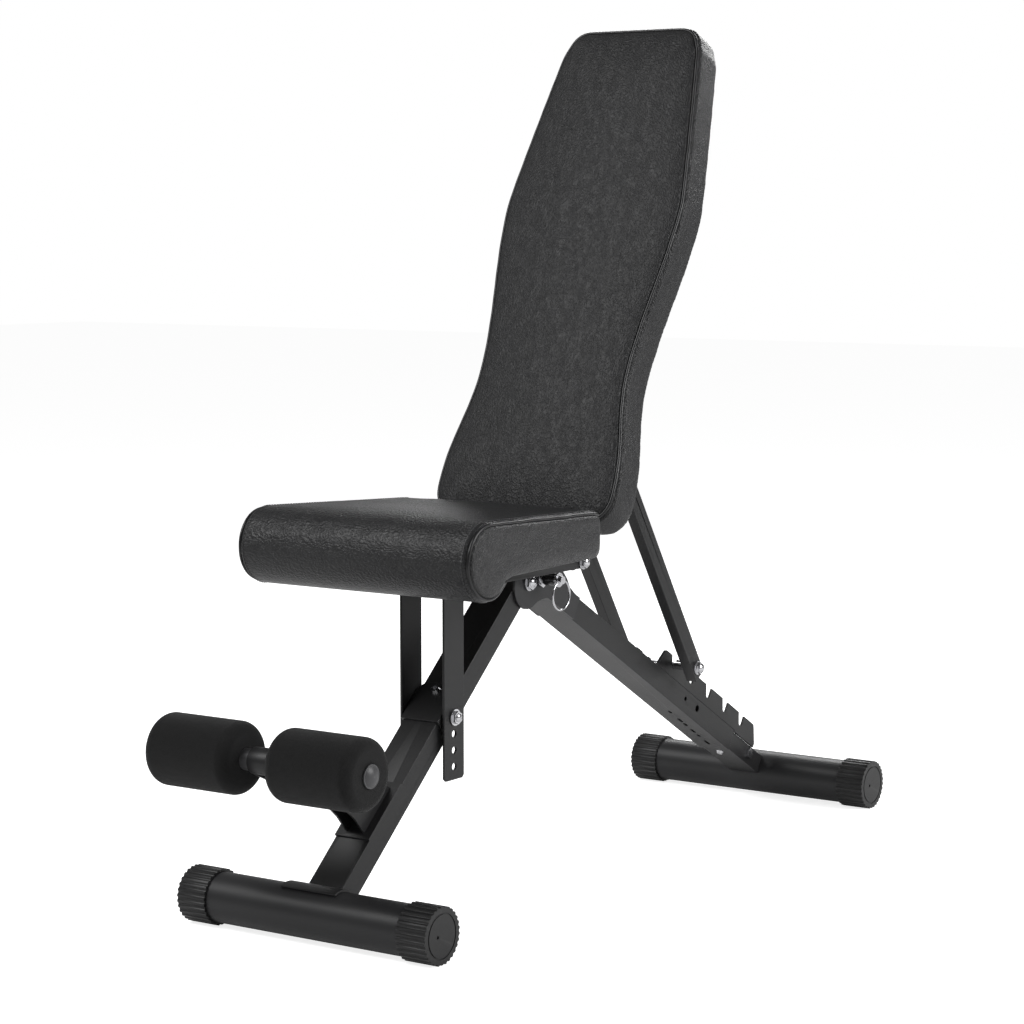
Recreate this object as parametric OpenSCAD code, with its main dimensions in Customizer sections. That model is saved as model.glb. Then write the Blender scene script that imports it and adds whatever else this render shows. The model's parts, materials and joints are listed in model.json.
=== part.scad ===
// Adjustable weight bench: folding frame, tilting seat, reclining backrest, foam leg rollers.
// +X is across the bench, +Y runs from the rollers to the rear foot, +Z is up, the floor is Z = 0.
// Outlines named "side outline" hold [Y, Z] points and are extruded across X.

/* [Stance] */
// Distance between the front and rear foot axes
foot_spread = 1017; // [960:1:1080]
// Distance from the front foot axis back to the folding pivot
pivot_back = 394; // [370:1:420]
// Height of the folding pivot above the floor
pivot_h = 376; // [350:1:400]
// Length of the front foot over its caps
front_foot_len = 360; // [300:1:440]
// Length of the rear foot over its caps
rear_foot_len = 380; // [300:1:460]

/* [Frame tubes] */
// Width of the leg tubes across the bench
leg_w = 50; // [44:0.5:56]
// Depth of the leg tubes
leg_d = 30; // [26:0.5:32]
// Wall of the leg tubes
leg_wall = 2; // [1.5:0.1:2.5]
// Thickness of the welded and pressed plates
plate_t = 3; // [2.5:0.1:3.5]
// Outer diameter of the foot tubes
foot_d = 60; // [56:0.5:64]
// Wall of the foot tubes
foot_wall = 2; // [1.5:0.1:3]
// Length of a foot cap along the tube
cap_len = 41; // [32:0.5:50]
// Wall of a foot cap over its tube
cap_wall = 3.6; // [3:0.1:4.5]
// Number of flutes round a foot cap
cap_flutes = 30; // [20:1:36]

/* [Hinges and pins] */
// Diameter of the folding pivot bolt
fold_bolt_d = 12; // [10:0.5:14]
// Diameter of the seat and backrest hinge bolt, the post bolts and the ladder rod
hinge_bolt_d = 10; // [8:0.5:11]
// Distance of the seat and backrest hinge behind the folding pivot
hinge_back = 74; // [70:1:80]
// Height of the seat and backrest hinge above the folding pivot
hinge_up = 20; // [18:1:26]
// Diameter of the locking pin's nose
pin_d = 8; // [6:0.5:9]
// Diameter of the pull ring
ring_d = 40; // [34:1:42]

/* [Seat] */
// Width of the seat pad at its front roll
seat_w = 338; // [300:1:380]
// Width of the seat pad at its rear edge
seat_rear_w = 294; // [260:1:320]
// Diameter of the seat pad's front roll
roll_d = 93; // [84:1:100]
// Distance of the roll's centre behind the front foot axis
roll_back = 113; // [100:1:125]
// Thickness of the seat pad behind the roll
seat_t = 60; // [50:1:66]
// Fall of the seat's top towards the rear, in degrees
seat_fall = 2.3; // [0:0.1:4]
// Height of a seat rail
rail_h = 28; // [26:1:32]
// Distance across the outer faces of the two seat rails
rail_span = 120; // [116:1:130]
// Thickness of the plywood boards
board_t = 10; // [8:0.5:12]
// Width of a seat post
post_w = 40; // [34:1:44]
// Pitch of the height holes in a seat post
post_pitch = 20; // [18:0.5:22]
// Number of height holes in a seat post
post_holes = 4; // [2:1:4]

/* [Backrest] */
// Backrest angle above the floor in the first ladder notch, in degrees
back_angle = 66; // [62:0.5:72]
// Length of the backrest pad
back_len = 680; // [620:1:740]
// Width of the backrest pad at its bottom
back_bottom_w = 270; // [240:1:290]
// Width of the backrest pad at its waist
back_waist_w = 228; // [200:1:250]
// Width of the backrest pad at its shoulders
back_shoulder_w = 272; // [240:1:290]
// Width of the backrest pad at its top
back_top_w = 200; // [170:1:220]
// Thickness of the backrest pad
back_t = 59; // [48:1:62]
// Size across of a square backrest tube
back_tube = 25; // [25:0.5:27]
// Distance of the strut's pivot above the hinge, along the backrest
strut_up = 175; // [160:1:185]
// Width of a strut bar across the bench
strut_w = 15; // [12:0.5:16]
// Depth of a strut bar
strut_d = 24; // [20:0.5:24]

/* [Ladder] */
// Number of notches in the ladder
notches = 5; // [3:1:5]
// Pitch of the ladder's notches
notch_pitch = 52.5; // [46:0.5:53]
// Distance of the first notch from the folding pivot, along the rear leg
first_notch = 385; // [376:1:400]
// Height of the ladder's teeth above the rear leg
tooth_h = 27; // [24:0.5:29]

/* [Leg rollers] */
// Diameter of a foam roller
roller_d = 84; // [74:1:90]
// Length of a foam roller
roller_len = 120; // [100:1:130]
// Gap between the two foam rollers
roller_gap = 54; // [46:1:60]
// Diameter of the roller tube
roller_tube_d = 25; // [22:0.5:27]
// Distance of the roller tube ahead of the front foot axis
roller_ahead = 87; // [70:1:100]
// Height of the roller tube above the floor
roller_h = 224; // [210:1:240]

/* [Hidden] */
$fn = 64;
fit = 0.06;          // radial running clearance of a pin in its hole
side_gap = 0.5;      // gap between faces that turn past each other
frame_black = [0.12, 0.12, 0.13];
bolt_silver = [0.75, 0.75, 0.77];
pad_black = [0.16, 0.16, 0.17];

// stance
cap_r = foot_d / 2 + cap_wall;
foot_h = cap_r - 0.6;                        // the caps have a 0.6 mm deep flat on the floor
roller_reach = roller_ahead + roller_d / 2;  // front of the rollers to the front foot axis
front_y = -(foot_spread + cap_r - roller_reach) / 2;
rear_y = front_y + foot_spread;
P = [front_y + pivot_back, pivot_h];         // folding pivot
K = P + [hinge_back, hinge_up];              // seat and backrest hinge
front_foot = [front_y, foot_h];
rear_foot = [rear_y, foot_h];

// front leg: its axis meets the pivot and passes behind the front foot's axis
leg_pass = 10;
leg_angle = atan2(pivot_h - foot_h, pivot_back - leg_pass);
front_leg_w = leg_w - 2 * side_gap;
leg_top = 13;                                // how far the tube runs past the pivot
leg_foot = norm(P - front_foot - [leg_pass, 0]);
head_x = front_leg_w / 2 - leg_wall;         // outer face of a head plate
head_t = 4;

// rear leg: offsets are square to the leg, above the pivot and above the rear foot's axis
rear_off = leg_d / 2;
rear_foot_off = 0;
pivot_to_foot = norm(rear_foot - P);
rear_angle = atan2(rear_foot[1] - P[1], rear_foot[0] - P[0])
    - asin((rear_off - rear_foot_off) / pivot_to_foot);
rear_foot_along = sqrt(pow(pivot_to_foot, 2) - pow(rear_off - rear_foot_off, 2));
rear_start = 60;
rear_end = rear_foot_along - 127;
leg_top_z = rear_off + leg_d / 2;
hinge_out = leg_w / 2 + plate_t;             // outer face of the hinge bracket
web_start = 46;

// ladder
notch_slot = hinge_bolt_d + 0.6;
notch_floor = 11;                            // the notch's lowest point above the leg
rod_z = leg_top_z + notch_floor + notch_slot / 2;
function notch(k) = [first_notch + k * notch_pitch, rod_z];
function on_rear(p) = P + [p[0] * cos(rear_angle) - p[1] * sin(rear_angle),
                           p[0] * sin(rear_angle) + p[1] * cos(rear_angle)];
rod = on_rear(notch(0));

// locking pin, in the folding pivot's frame
pin_r = 26;
pin_a = 4;
slot_sweep = 36;     // the head plates' slot runs this far round the pivot, out through their edge
pin_at = P + pin_r * [cos(pin_a), sin(pin_a)];
knob_d = 16;
knob_x = hinge_out + 8;
knob_len = 20;
housing_d = 14;
ring_wire = 2.4;

// seat
roll_c = [front_y + roll_back, 438.5 - 376 + pivot_h];
rail_bottom = K[1] - 8;
seat_bottom = rail_bottom + rail_h;
seat_front_y = roll_c[0] - roll_d / 2;
seat_rear_y = K[0] - 90;
rail_x = rail_span / 2;
rail_flange = 20;
rail_front_y = roll_c[0] + roll_d / 2 + 36;
post_x = front_leg_w / 2 + plate_t + 2.5;    // inner face of a post
// post bolt: 220.7 mm down the front leg from the pivot and 2.1 mm above the leg's axis
B = P - 220.7 * [cos(leg_angle), sin(leg_angle)] + 2.1 * [-sin(leg_angle), cos(leg_angle)];
T = [B[0] + 1, seat_bottom - 18];            // post pin
post_end = 16;
seat_arm = norm(T - K);
seat_range = asin(((post_holes - 1) * post_pitch + T[1] - K[1]) / seat_arm)
    - asin((T[1] - K[1]) / seat_arm);
neck_d = 3;
slit = neck_d + 0.6;

// backrest: in its own frame Z runs up the pad and Y points out of its back
front_to_hinge = 81;
pad_y0 = -front_to_hinge;
pad_y1 = pad_y0 + back_t;
pad_z0 = 27;
tube_x = 30;
tube_y1 = pad_y1 + back_tube;
tube_z0 = 46;
tube_z1 = 560;
lug_t = 4;
lug_x = tube_x + back_tube / 2;
strut_x = lug_x + lug_t;                     // inner face of a strut bar starts clear of the lugs
strut_in = strut_x - 1.5;
U_local = [pad_y1 + back_tube / 2, strut_up];
function on_back(p) = K + [p[0] * cos(back_angle - 90) - p[1] * sin(back_angle - 90),
                           p[0] * sin(back_angle - 90) + p[1] * cos(back_angle - 90)];
U = on_back(U_local);
strut_len = norm(rod - U);
strut_angle = atan2(rod[1] - U[1], rod[0] - U[0]);

// leg rollers
R = [front_y - roller_ahead, roller_h];
roller_x0 = roller_gap / 2;
roller_x1 = roller_x0 + roller_len;

// ---- helpers ----

// Extrudes a [Y, Z] outline from x0 to x1.
module across(x0, x1) {
    translate([x0, 0, 0]) rotate([90, 0, 90]) linear_extrude(x1 - x0) children();
}

// A round bar along X through the point p = [Y, Z].
module bar_x(p, d, x0, x1) {
    translate([x0, p[0], p[1]]) rotate([0, 90, 0]) cylinder(h = x1 - x0, d = d);
}

// A hexagonal bar along X, af across its flats.
module hex_x(p, af, x0, x1) {
    translate([x0, p[0], p[1]]) rotate([0, 90, 0]) cylinder(h = x1 - x0, d = af / cos(30), $fn = 6);
}

// A ring along X, such as a washer or a spacer.
module ring_x(p, d, bore, x0, x1) {
    difference() {
        bar_x(p, d, x0, x1);
        bar_x(p, bore, x0 - 1, x1 + 1);
    }
}

// A domed bolt head on the +X side of the point p.
module dome_head(p, d, h, x0) {
    translate([x0, p[0], p[1]]) rotate([0, 90, 0]) rotate_extrude() {
        intersection() {
            translate([0, h - d * 0.75]) circle(d = d * 1.5);
            square([d / 2, h]);
        }
    }
}

// Mirrors its children to the other side of the bench when side is -1.
module on_side(side) {
    if (side < 0) mirror([1, 0, 0]) children();
    else children();
}

module at_front_leg() { translate([0, P[0], P[1]]) rotate([leg_angle, 0, 0]) children(); }
module at_rear_leg() { translate([0, P[0], P[1]]) rotate([rear_angle, 0, 0]) children(); }
module at_backrest() { translate([0, K[0], K[1]]) rotate([back_angle - 90, 0, 0]) children(); }

// A rectangular tube along +Y, w across X and d along Z, centred on the Y axis.
module box_tube(w, d, wall, y0, y1) {
    difference() {
        translate([-w / 2, y0, -d / 2]) cube([w, y1 - y0, d]);
        translate([-w / 2 + wall, y0 - 1, -d / 2 + wall]) cube([w - 2 * wall, y1 - y0 + 2, d - 2 * wall]);
    }
}

// A straight [Y, Z] strip from a to b, with square ends.
module strip(a, b, w) {
    translate(a) rotate(atan2(b[1] - a[1], b[0] - a[0])) translate([0, -w / 2]) square([norm(b - a), w]);
}

// ---- front frame ----

module front_leg() {
    color(frame_black) difference() {
        at_front_leg() box_tube(front_leg_w, leg_d, leg_wall, -leg_foot - 10, leg_top);
        bar_x(front_foot, foot_d, -leg_w, leg_w);
        bar_x(P, fold_bolt_d, -leg_w, leg_w);
        bar_x(B, hinge_bolt_d, -leg_w, leg_w);
        at_front_leg() translate([0, bracket_screw_y(), 0]) cylinder(h = leg_d, d = 8);
        // the lower wall ends short of the head plates, which leave the tube there
        at_front_leg() translate([-leg_w, -3, -leg_d]) cube([2 * leg_w, leg_top + 4, leg_d / 2 + leg_wall + 0.5]);
    }
}

// Side outline of a head plate: a bar up to the hinge and a tongue down inside the leg tube.
module head_outline() {
    translate(P) circle(r = 12.4);
    translate(K) circle(r = 13);
    strip(P, K, 24);
    strip(P, P - 60 * [cos(leg_angle), sin(leg_angle)], leg_d - 2 * leg_wall - 1);
}

// A plate welded inside the leg tube's head. It carries the seat and backrest hinge.
module head_plate(side) {
    color(frame_black) on_side(side) across(head_x - head_t, head_x) difference() {
        head_outline();
        translate(P) circle(d = fold_bolt_d);
        translate(K) circle(d = hinge_bolt_d);
        // the locking pin bears on the end of this curved slot
        translate(pin_at) circle(d = pin_d + 0.6);
        translate(P) polygon([
            for (a = [0 : 4 : slot_sweep]) (pin_r + pin_d / 2 + 0.3) * [cos(pin_a - a), sin(pin_a - a)],
            for (a = [slot_sweep : -4 : 0]) (pin_r - pin_d / 2 - 0.3) * [cos(pin_a - a), sin(pin_a - a)]
        ]);
    }
}

module foot_tube(at, len) {
    color(frame_black) ring_x(at, foot_d, foot_d - 2 * foot_wall, -len / 2 + 5, len / 2 - 5);
}

// A curved plate between the front leg and its foot tube.
module front_foot_saddle() {
    reach = 40;
    color(frame_black) difference() {
        bar_x(front_foot, foot_d + 2 * plate_t, -reach, reach);
        bar_x(front_foot, foot_d, -reach - 1, reach + 1);
        at_front_leg() translate([-60, -leg_foot - 200, -100]) cube([120, 200 + 2, 200]);
        at_front_leg() translate([-front_leg_w / 2, -leg_foot, -leg_d / 2]) cube([front_leg_w, 60, leg_d]);
    }
}

// A fluted cap over the end of a foot tube, with a flat where it stands on the floor.
module foot_cap(at, len, side) {
    end_x = len / 2;
    color([0.1, 0.1, 0.1]) on_side(side) difference() {
        across(end_x - cap_len, end_x) translate(at) difference() {
            circle(r = cap_r);
            for (i = [0 : cap_flutes - 1])
                rotate(-90 + 360 * (i + 0.5) / cap_flutes) translate([cap_r + 1, 0]) circle(d = 5, $fn = 24);
        }
        bar_x(at, foot_d + 0.1, end_x - cap_len - 1, end_x - 5);
        ring_x(at, 2 * cap_r - 14, 2 * cap_r - 18, end_x - 1, end_x + 1);
        bar_x(at + [-8, 0], 4, end_x - 3, end_x + 1);
        translate([0, at[0] - cap_r, -10]) cube([len, 2 * cap_r, 10]);
    }
}

function bracket_screw_y() = -195;
bracket_y0 = -242;
bracket_y1 = -184;

// A pressed U bracket over the front leg. The post bolt passes through its cheeks.
module post_bracket() {
    corner = 9;
    inner = front_leg_w / 2;
    outer = inner + plate_t;
    color(frame_black) difference() {
        at_front_leg() {
            translate([0, 0, leg_d / 2]) linear_extrude(plate_t) polygon([
                [-outer, bracket_y0], [outer, bracket_y0], [outer, bracket_y1 - corner],
                [outer - corner, bracket_y1], [corner - outer, bracket_y1], [-outer, bracket_y1 - corner]
            ]);
            for (side = [-1, 1])
                translate([side < 0 ? -outer : inner, bracket_y0, -6])
                    cube([plate_t, bracket_y1 - corner - bracket_y0, leg_d / 2 + 6]);
        }
        bar_x(B, hinge_bolt_d, -leg_w, leg_w);
        at_front_leg() translate([0, bracket_screw_y(), 0]) cylinder(h = leg_d, d = 8);
    }
}

module bracket_screw() {
    color(bolt_silver) at_front_leg() translate([0, bracket_screw_y(), 0]) difference() {
        union() {
            translate([0, 0, 2]) cylinder(h = leg_d / 2 + plate_t - 2, d = 8);
            translate([0, 0, leg_d / 2 + plate_t]) cylinder(h = 4.5, d1 = 14, d2 = 11);
        }
        translate([0, 0, leg_d / 2 + plate_t + 1.5]) cylinder(h = 4, d = 6.9, $fn = 6);
    }
}

// The post bolt: a full shank inside the bracket and a slim neck through each post's slit.
post_out = post_x + plate_t;
module post_bolt() {
    color(bolt_silver) {
        bar_x(B, hinge_bolt_d, -post_x + side_gap, post_x - side_gap);
        bar_x(B, neck_d, -post_out - 10, post_out + side_gap);
        ring_x(B, 20, neck_d, post_out + side_gap, post_out + side_gap + 2);
        hex_x(B, 14, post_out + side_gap + 2, post_out + side_gap + 6);
        dome_head(B, 11, 3, post_out + side_gap + 6);
        bar_x(B, neck_d, post_out, post_out + side_gap + 6);
        for (side = [-1, 1])
            on_side(side) ring_x(B, 18, hinge_bolt_d, front_leg_w / 2 + plate_t, post_x - side_gap);
    }
}

module post_bolt_nut() {
    color(bolt_silver) mirror([1, 0, 0]) {
        ring_x(B, 20, neck_d, post_out + side_gap, post_out + side_gap + 2);
        difference() {
            union() {
                hex_x(B, 14, post_out + side_gap + 2, post_out + side_gap + 8);
                dome_head(B, 12, 3.5, post_out + side_gap + 8);
            }
            bar_x(B, neck_d, post_out, post_out + 10);
        }
    }
}

arm_y0 = -420;
arm_y1 = -336;
arm_x = 14;

// The roller arm: a base plate on the front leg, two shaped cheeks and a boss for the roller tube.
module roller_arm() {
    low = [P[0] + arm_y0 * cos(leg_angle) - (leg_d / 2 + plate_t) * sin(leg_angle),
           P[1] + arm_y0 * sin(leg_angle) + (leg_d / 2 + plate_t) * cos(leg_angle)];
    high = low + (arm_y1 - arm_y0) * [cos(leg_angle), sin(leg_angle)];
    boss_r = roller_tube_d / 2 + 3;
    along_arm = (high + low) / 2 - R;
    tilt = atan2(along_arm[1], along_arm[0]);
    under = R + boss_r * [cos(tilt - 90), sin(tilt - 90)];
    over = R + boss_r * [cos(tilt + 90), sin(tilt + 90)];
    waist = under + 96 * [cos(tilt), sin(tilt)];
    low_in = low + 8 * [cos(leg_angle), sin(leg_angle)];
    high_in = high - 8 * [cos(leg_angle), sin(leg_angle)];
    color(frame_black) {
        at_front_leg() translate([-leg_w / 2, arm_y0, leg_d / 2]) cube([leg_w, arm_y1 - arm_y0, plate_t]);
        difference() {
            for (side = [-1, 1]) on_side(side) across(arm_x - plate_t, arm_x) polygon(concat(
                [over, under, waist],
                [for (t = [0.25 : 0.25 : 0.75]) waist + (low_in - waist) * t + 9 * sin(180 * t) * [0.5, 0.87]],
                [low_in, high_in]
            ));
            bar_x(R, roller_tube_d, -30, 30);
        }
        across(-arm_x + plate_t, arm_x - plate_t) difference() {
            union() {
                strip(over + 18 * [cos(tilt), sin(tilt)], high_in, 0.01);
                polygon([over + [14, -6], over + [14, -6 - plate_t], high_in - [0, plate_t], high_in]);
            }
        }
        ring_x(R, 2 * boss_r, roller_tube_d, -arm_x, arm_x);
    }
}

module roller_tube() {
    color([0.35, 0.35, 0.36]) ring_x(R, roller_tube_d, roller_tube_d - 3, -roller_x1 - 1, roller_x1 + 1);
}

module roller_plug(side) {
    color([0.3, 0.3, 0.31]) on_side(side) {
        bar_x(R, roller_tube_d - 3, roller_x1 - 14, roller_x1 + 1);
        bar_x(R, roller_tube_d + 2, roller_x1 + 1, roller_x1 + 2.5);
        dome_head(R, roller_tube_d + 2, 4, roller_x1 + 2.5);
    }
}

module fold_bolt() {
    color(bolt_silver) {
        bar_x(P, fold_bolt_d, -hinge_out - 12, hinge_out + side_gap);
        bar_x(P, 22, hinge_out + side_gap, hinge_out + side_gap + 2);
        hex_x(P, 17, hinge_out + side_gap + 2, hinge_out + side_gap + 6);
        dome_head(P, 13, 3, hinge_out + side_gap + 6);
    }
}

module fold_bolt_nut() {
    color(bolt_silver) mirror([1, 0, 0]) {
        ring_x(P, 22, fold_bolt_d, hinge_out + side_gap, hinge_out + side_gap + 2);
        difference() {
            hex_x(P, 18, hinge_out + side_gap + 2, hinge_out + side_gap + 10);
            bar_x(P, fold_bolt_d, hinge_out, hinge_out + 20);
        }
    }
}

module hinge_bolt() {
    color(bolt_silver) {
        bar_x(K, hinge_bolt_d, -rail_x - 11, rail_x + side_gap);
        bar_x(K, 19, rail_x + side_gap, rail_x + side_gap + 1.6);
        hex_x(K, 14, rail_x + side_gap + 1.6, rail_x + side_gap + 5.6);
        dome_head(K, 11, 3, rail_x + side_gap + 5.6);
    }
}

module hinge_bolt_nut() {
    color(bolt_silver) mirror([1, 0, 0]) {
        ring_x(K, 19, hinge_bolt_d, rail_x + side_gap, rail_x + side_gap + 1.6);
        difference() {
            hex_x(K, 15, rail_x + side_gap + 1.6, rail_x + side_gap + 9);
            bar_x(K, hinge_bolt_d, rail_x, rail_x + 20);
        }
    }
}

// Spacer tubes that keep the lugs and the seat rails apart on the hinge bolt.
module hinge_spacers() {
    color(frame_black) for (side = [-1, 1]) on_side(side) {
        ring_x(K, 15, hinge_bolt_d, head_x, lug_x - side_gap);
        ring_x(K, 15, hinge_bolt_d, lug_x + lug_t + side_gap, rail_x - plate_t - side_gap);
    }
}

// ---- rear frame ----

module rear_leg() {
    color(frame_black) at_rear_leg() translate([0, 0, rear_off]) difference() {
        box_tube(leg_w, leg_d, leg_wall, rear_start, rear_end);
        // slots in the lower wall: [distance from the leg's end, length]
        for (s = [[21.5, 14], [48, 8], [66, 13], [90, 10], [106, 13], [137, 8]])
            translate([0, rear_end - s[0], -leg_d / 2 - 1]) slot(s[1], 5, leg_wall + 2);
        for (i = [0, 1])
            translate([leg_w / 2 - leg_wall - 1, rear_end - 112 - i * 36, 3])
                rotate([0, 90, 0]) cylinder(h = leg_wall + 2, d = i == 0 ? 9 : 6);
    }
}

// A slot along Y with round ends, h deep.
module slot(len, d, h) {
    for (y = [-1, 1]) translate([0, y * (len - d) / 2, 0]) cylinder(h = h, d = d);
    translate([-d / 2, -(len - d) / 2, 0]) cube([d, len - d, h]);
}

// The pressed bracket at the rear leg's head: two cheeks and the web in front of the leg.
module hinge_bracket() {
    weld_end = 118;
    color(frame_black) {
        difference() {
            for (side = [-1, 1]) on_side(side) across(leg_w / 2, hinge_out) hinge_cheek(weld_end);
            bar_x(P, fold_bolt_d + 2 * fit, -leg_w, leg_w);
            bar_x(pin_at, pin_d + 2 * fit, leg_w / 2 - 1, hinge_out + 1);
        }
        at_rear_leg() translate([-leg_w / 2 - 1, web_start, 0])
            cube([leg_w + 2, rear_start - web_start, plate_t]);
    }
}

// Side outline of a hinge cheek: a rounded nose round the pivot, a top edge that stays clear of the
// hinge bolt above it, and a weld along the rear leg.
module hinge_cheek(weld_end) {
    under_hinge = P + [hinge_back, hinge_up];
    polygon(concat(
        [on_rear([weld_end, 0]), on_rear([weld_end, leg_top_z]), on_rear([104, leg_top_z])],
        [under_hinge + [20, -37], under_hinge + [13, -25], under_hinge + [5, -16], under_hinge + [-5, -10]],
        [P + [-20, 9.5]],
        [for (a = [150 : 15 : 270]) P + [-2, -4] + [29 * cos(a), 30 * sin(a)]],
        [P + [9, -32], P + [20, -27], P + [30, -25], on_rear([web_start + 3, 0])]
    ));
}

// One tooth row of the ladder, in the rear leg's own frame: [along the leg, square to it].
module ladder_side() {
    lean_front = -rear_angle;    // the notch's front wall stands upright
    lean_rear = 32 + rear_angle; // its rear wall leans back
    first = notch(0)[0];
    last = notch(notches - 1)[0];
    tail = last + 52;
    drop = 2.2;                  // the plates reach down past the leg's end by this much
    difference() {
        polygon(concat([
            [first - 42, leg_top_z], [first - 38, leg_top_z + 12], [first - 32, leg_top_z + tooth_h - 2],
            [first - 28, leg_top_z + tooth_h], [last + 36, leg_top_z + tooth_h],
            [last + 39, leg_top_z + tooth_h - 3]
        ], tail > rear_end + 5 ? [[tail, leg_top_z + 4], [tail, leg_top_z - drop],
            [rear_end + 0.3, leg_top_z - drop], [rear_end + 0.3, leg_top_z]] : [[tail, leg_top_z]]));
        for (k = [0 : notches - 1]) translate(notch(k)) polygon(concat(
            [notch_slot / 2 * [-cos(lean_front), -sin(lean_front)] + 30 * [-sin(lean_front), cos(lean_front)]],
            [for (i = [0 : 10]) let (a = 180 + lean_front + i * (180 - lean_front - lean_rear) / 10)
                notch_slot / 2 * [cos(a), sin(a)]],
            [notch_slot / 2 * [cos(lean_rear), -sin(lean_rear)] + 30 * [sin(lean_rear), cos(lean_rear)]]
        ));
    }
}

module ladder() {
    color(frame_black) at_rear_leg() {
        for (side = [-1, 1]) on_side(side) across(leg_w / 2 - plate_t, leg_w / 2) ladder_side();
        translate([-leg_w / 2, notch(0)[0] - 42, leg_top_z])
            cube([leg_w, rear_end - notch(0)[0] + 42, plate_t]);
    }
}

socket_in = 34;
socket_half = leg_w / 2 - leg_wall - 0.3;
socket_bolt_at = on_rear([rear_end + 57, rear_off + 2]);

// A channel that plugs into the rear leg and is welded to the rear foot tube.
module rear_socket() {
    z0 = rear_off - leg_d / 2 + leg_wall + 0.3;
    z1 = rear_off + leg_d / 2 - leg_wall - 0.3;
    length = rear_foot_along - rear_end + socket_in;
    color(frame_black) difference() {
        at_rear_leg() difference() {
            translate([-socket_half, rear_end - socket_in, z0]) cube([2 * socket_half, length, z1 - z0]);
            translate([-socket_half + plate_t, rear_end - socket_in - 1, z0 + plate_t])
                cube([2 * (socket_half - plate_t), length + 2, z1 - z0]);
            translate([0, rear_end + 20, z0 - 1]) cylinder(h = plate_t + 2, d = 6);
        }
        bar_x(rear_foot, foot_d, -leg_w, leg_w);
        bar_x(socket_bolt_at, 8, -leg_w, leg_w);
    }
}

module socket_bolt() {
    color(bolt_silver) {
        bar_x(socket_bolt_at, 8, -socket_half - 7, socket_half + 1);
        hex_x(socket_bolt_at, 13, socket_half, socket_half + 4);
        hex_x(socket_bolt_at, 13, -socket_half - 6, -socket_half);
    }
}

module socket_screw() {
    z0 = rear_off - leg_d / 2 + leg_wall + 0.3;
    color(bolt_silver) at_rear_leg() translate([0, rear_end + 20, 0]) {
        translate([0, 0, z0]) cylinder(h = plate_t + 6, d = 6);
        translate([0, 0, z0 - 3]) cylinder(h = 3, d1 = 8, d2 = 11);
    }
}

// The locking pin's threaded housing and its nut, on the hinge bracket.
module pin_housing() {
    color(bolt_silver) difference() {
        union() {
            hex_x(pin_at, 20, hinge_out, hinge_out + 5);
            bar_x(pin_at, housing_d, hinge_out + 5, knob_x - 1);
        }
        bar_x(pin_at, pin_d + 2 * fit, hinge_out - 1, hinge_out + 20);
        bar_x(pin_at, pin_d + 3, hinge_out + 2, knob_x);
    }
}

// ---- locking pin ----

module pin_plunger() {
    color(bolt_silver) bar_x(pin_at, pin_d, head_x - head_t - 0.5, knob_x + knob_len - 2);
}

module pin_knob() {
    color([0.05, 0.05, 0.05]) ring_x(pin_at, knob_d, pin_d, knob_x, knob_x + knob_len - 2);
}

ring_hole_x = knob_x + knob_len + 3.6;
module pin_knob_cap() {
    color(bolt_silver) difference() {
        union() {
            bar_x(pin_at, knob_d + 2, knob_x + knob_len - 2, knob_x + knob_len + 1);
            bar_x(pin_at, 10, knob_x + knob_len + 1, knob_x + knob_len + 6.4);
        }
        translate([ring_hole_x, pin_at[0] - 15, pin_at[1]]) rotate([-90, 0, 0])
            cylinder(h = 30, d = ring_wire + 1.6);
    }
}

// The return spring, drawn as the sleeve that its coils fill.
module pin_spring() {
    color(bolt_silver) ring_x(pin_at, pin_d + 2.6, pin_d + 0.6, hinge_out + 2, knob_x - 0.2);
}

// The pull ring hangs through the knob cap.
module pin_ring() {
    color(bolt_silver) translate([ring_hole_x, pin_at[0], pin_at[1] - ring_d / 2 + ring_wire / 2])
        rotate([0, 90, 0]) rotate_extrude() translate([ring_d / 2 - ring_wire / 2, 0]) circle(d = ring_wire);
}

// ---- seat ----

// Side outline of the seat pad: a round front roll and a flat part behind it.
module seat_profile() {
    r = roll_d / 2;
    blend_r = 25;
    blend = [roll_c[0] + sqrt(pow(r + blend_r, 2) - pow(roll_c[1] - seat_bottom + blend_r, 2)),
             seat_bottom - blend_r];
    touch = atan2(blend[1] - roll_c[1], blend[0] - roll_c[0]);
    rear_top = roll_c[1] + r - (seat_rear_y - roll_c[0]) * tan(seat_fall);
    corner = 10;
    polygon(concat(
        [for (i = [0 : 24]) roll_c + r * [cos(90 + (270 + touch) * i / 24), sin(90 + (270 + touch) * i / 24)]],
        [for (i = [1 : 6]) blend + blend_r * [cos(180 + touch - (90 + touch) * i / 6),
                                              sin(180 + touch - (90 + touch) * i / 6)]],
        [for (a = [-90 : 15 : 0]) [seat_rear_y, seat_bottom] + corner * [cos(a) - 1, sin(a) + 1]],
        [for (a = [0 : 15 : 90]) [seat_rear_y, rear_top] + corner * [cos(a) - 1, sin(a) - 1]]
    ));
}

// Half the seat's width at a distance y.
function seat_half(y) = seat_w / 2 - (seat_w - seat_rear_w) / 2
    * max(0, (y - roll_c[0]) / (seat_rear_y - roll_c[0]));

module seat_plan(inset, y0, y1) {
    polygon([
        [seat_half(y0) - inset, y0], [seat_half(y1) - inset, y1],
        [inset - seat_half(y1), y1], [inset - seat_half(y0), y0]
    ]);
}

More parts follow.
